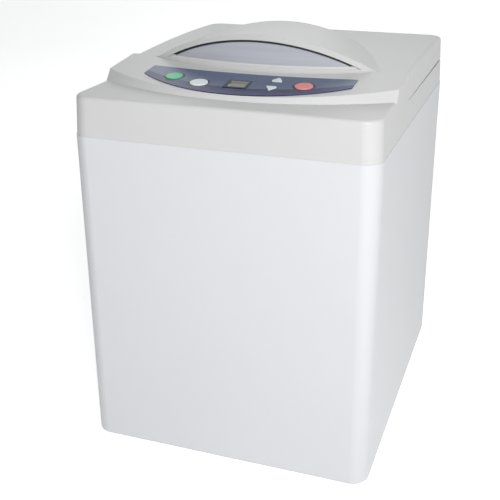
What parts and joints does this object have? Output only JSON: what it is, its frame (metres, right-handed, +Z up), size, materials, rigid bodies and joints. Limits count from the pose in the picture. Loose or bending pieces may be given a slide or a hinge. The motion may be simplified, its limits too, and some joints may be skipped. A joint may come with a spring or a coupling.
{
  "type": "dental impression mixer",
  "caption": "Tall casing with a sloping control panel and a hinged hooded lid with a crescent window, over a tilted cup that spins as it orbits.",
  "frame": {"origin": "centre of the footprint on the bench", "axes": "+Z up, the control panel faces -Y, +X to the right seen from the front"},
  "size_m": [0.2876, 0.346, 0.4004],
  "materials": {
    "casing": "moulded, fine grain",
    "overlay": "printed polyester film",
    "green_key": "satin",
    "white_key": "satin",
    "red_key": "satin",
    "display": "tinted window in a dark frame",
    "smoke_window": "milky smoked pane",
    "rubber": "moulded",
    "steel": "brushed",
    "bright_steel": "turned",
    "aluminium": "cast and turned",
    "black_plastic": "moulded",
    "board": "solder mask",
    "contact": "plated",
    "cup": "translucent polypropylene",
    "hinge": "pressed"
  },
  "bodies": {
    "chassis": {"lower_casing": "casing", "upper_casing": "casing", "base_plate": "steel", "rubber_feet": "rubber", "casing_screws": "bright_steel", "panel_overlay": "overlay", "control_board": "board", "key_switches": "black_plastic", "led_display": "black_plastic", "display_window": "display", "hinge_brackets": "steel", "hinge_pins": "bright_steel", "lock_solenoid": "black_plastic", "lid_sensor": "black_plastic", "chamber_tub": "steel", "floor_seal": "rubber", "sun_gear": "bright_steel", "isolators": "rubber", "motor_mount": "steel", "motor_housing": "aluminium", "lower_shield": "aluminium", "upper_shield": "aluminium", "motor_bearings": "bright_steel", "shaft_seal": "rubber", "stator": "steel", "rear_plate": "steel", "power_inlet": "black_plastic", "inlet_blades": "contact", "fuse_drawer": "black_plastic", "switch_bezel": "black_plastic", "run_capacitor": "aluminium", "driver_board": "board"},
    "rotor": {"main_shaft": "bright_steel", "armature": "steel", "cooling_fan": "black_plastic", "rotor_arm": "aluminium", "holder_bearings": "bright_steel", "counterweight": "steel", "rotor_nut": "bright_steel"},
    "holder": {"cup_holder": "aluminium", "holder_shaft": "bright_steel", "planet_gear": "bright_steel", "holder_nut": "bright_steel"},
    "cup": {"mixing_cup": "cup", "cup_cap": "cup"},
    "lid": {"lid_shell": "casing", "sight_window": "smoke_window", "window_seal": "rubber", "lid_liner": "casing", "lid_gasket": "rubber", "striker": "steel", "lid_magnet": "bright_steel", "hinge_arms": "hinge"},
    "start_button": {"start_key": "green_key"},
    "mode_button": {"mode_key": "white_key"},
    "stop_button": {"stop_key": "red_key"},
    "up_button": {"up_key": "white_key"},
    "down_button": {"down_key": "white_key"},
    "lock_bolt": {"lock_pin": "bright_steel"},
    "rocker": {"power_rocker": "black_plastic"}
  },
  "joints": [
    {"name": "rotor_spin", "type": "hinge", "parent": "chassis", "child": "rotor", "pos_m": [0, 0.036, 0.2], "axis": [0, 0, 1], "continuous": true},
    {"name": "holder_spin", "type": "hinge", "parent": "rotor", "child": "holder", "pos_m": [0, 0.036, 0.325], "axis": [-0.7071, 0, 0.7071], "continuous": true},
    {"name": "cup_lift", "type": "slide", "parent": "holder", "child": "cup", "axis": [-0.7071, 0, 0.7071], "range_m": [0, 0.04]},
    {"name": "lid_hinge", "type": "hinge", "parent": "chassis", "child": "lid", "pos_m": [0, 0.167, 0.348], "axis": [-1, 0, 0], "range_deg": [0, 95]},
    {"name": "start_press", "type": "slide", "parent": "chassis", "child": "start_button", "axis": [0, 0.1093, -0.994], "range_m": [0, 0.001], "stiffness_N_per_m": 400, "springref_m": -0.0005},
    {"name": "mode_press", "type": "slide", "parent": "chassis", "child": "mode_button", "axis": [0, 0.1093, -0.994], "range_m": [0, 0.001], "stiffness_N_per_m": 400, "springref_m": -0.0005},
    {"name": "up_press", "type": "slide", "parent": "chassis", "child": "up_button", "axis": [0, 0.1093, -0.994], "range_m": [0, 0.001], "stiffness_N_per_m": 400, "springref_m": -0.0005},
    {"name": "down_press", "type": "slide", "parent": "chassis", "child": "down_button", "axis": [0, 0.1093, -0.994], "range_m": [0, 0.001], "stiffness_N_per_m": 400, "springref_m": -0.0005},
    {"name": "stop_press", "type": "slide", "parent": "chassis", "child": "stop_button", "axis": [0, 0.1093, -0.994], "range_m": [0, 0.001], "stiffness_N_per_m": 400, "springref_m": -0.0005},
    {"name": "lid_lock", "type": "slide", "parent": "chassis", "child": "lock_bolt", "axis": [0, 1, 0], "range_m": [0, 0.012], "stiffness_N_per_m": 150, "springref_m": -0.002},
    {"name": "power_switch", "type": "hinge", "parent": "chassis", "child": "rocker", "pos_m": [0.086, 0.1649, 0.052], "axis": [-1, 0, 0], "range_deg": [0, 18]}
  ],
  "couplings": [
    {"joint": "holder_spin", "follows": "rotor_spin", "ratio": 2}
  ]
}
